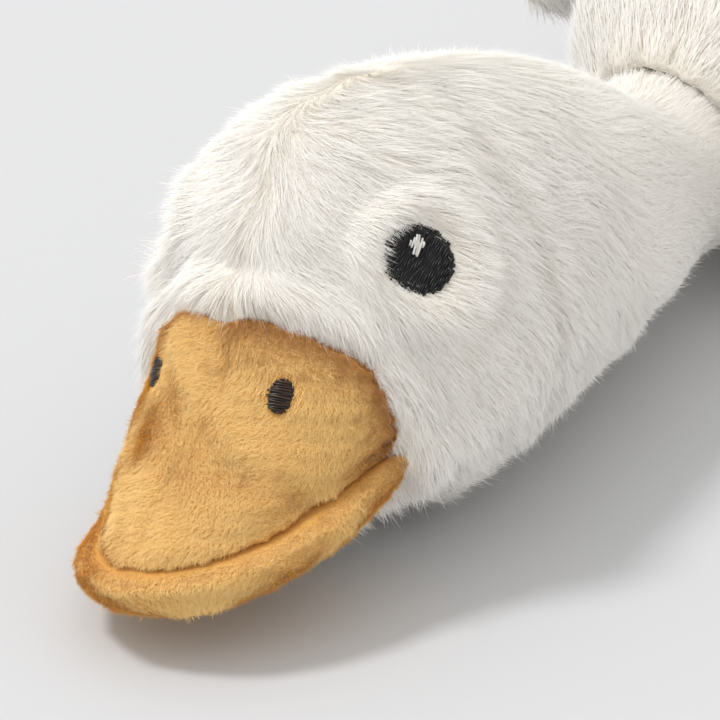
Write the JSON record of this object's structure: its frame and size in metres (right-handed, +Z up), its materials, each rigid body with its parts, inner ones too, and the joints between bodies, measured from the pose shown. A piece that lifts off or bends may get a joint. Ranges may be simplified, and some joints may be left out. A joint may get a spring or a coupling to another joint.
{
  "type": "plush goose",
  "caption": "Stuffed plush goose lying on its belly with its neck stretched out, a broad flat bill, padded wings, short tail and webbed feet.",
  "frame": {"origin": "middle of the goose's outline, on the floor", "axes": "+Z up, the beak points to -Y, the goose's own left side is +X"},
  "size_m": [0.2042, 0.4466, 0.098],
  "materials": {
    "plush_white": "long soft pile",
    "plush_mustard": "short soft pile",
    "thread_black": "satin thread",
    "thread_white": "satin thread",
    "thread_brown": "satin thread"
  },
  "bodies": {
    "root": {"head": "plush_white", "body": "plush_white", "beak_upper": "plush_mustard", "beak_lower": "plush_mustard", "eye_left": "thread_black", "eye_right": "thread_black", "eye_glint_left": "thread_white", "eye_glint_right": "thread_white", "nostril_left": "thread_brown", "nostril_right": "thread_brown", "wing_left": "plush_white", "wing_right": "plush_white", "tail": "plush_white", "foot_left": "plush_mustard", "foot_right": "plush_mustard"}
  },
  "joints": []
}
